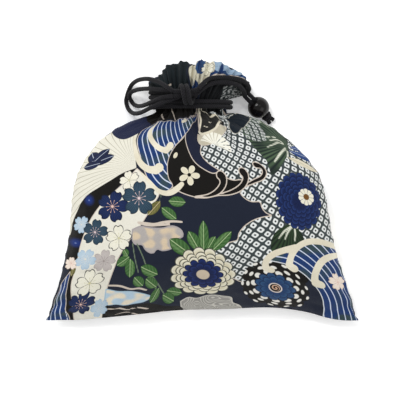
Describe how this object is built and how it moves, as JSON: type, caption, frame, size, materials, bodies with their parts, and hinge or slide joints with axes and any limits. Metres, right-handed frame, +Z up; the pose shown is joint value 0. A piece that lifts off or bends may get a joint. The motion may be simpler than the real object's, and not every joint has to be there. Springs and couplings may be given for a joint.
{
  "type": "kinchaku drawstring pouch",
  "caption": "Filled cotton kinchaku pouch lying on its back, drawn shut at the neck by a round black drawstring that is wound round, tied in a slip bow and carries a sliding bead.",
  "frame": {"origin": "on the floor, under the middle of the bag's outline", "axes": "+X to the right across the bag, +Y from the hem to the gathered mouth, +Z up, out of the front panel"},
  "size_m": [0.23, 0.1912, 0.062],
  "materials": {
    "printed_cotton": "matt woven cotton with a navy, blue, cream, green and black flower, wave and tie-dye dot print",
    "black_cord": "matt black round braid",
    "black_bead": "polished black ball"
  },
  "bodies": {
    "pouch": {"bag": "printed_cotton", "cord_wrap_a": "black_cord", "cord_wrap_b": "black_cord", "bow_knot": "black_cord", "cord_loop_outer": "black_cord", "cord_loop_inner": "black_cord", "cord_tail_a": "black_cord", "cord_tail_b": "black_cord", "end_knot": "black_cord"},
    "bead": {"bead": "black_bead"}
  },
  "joints": [
    {"name": "bead_slide", "type": "slide", "parent": "pouch", "child": "bead", "axis": [-0.6346, 0.6572, 0.4067], "range_m": [0, 0.005]}
  ]
}
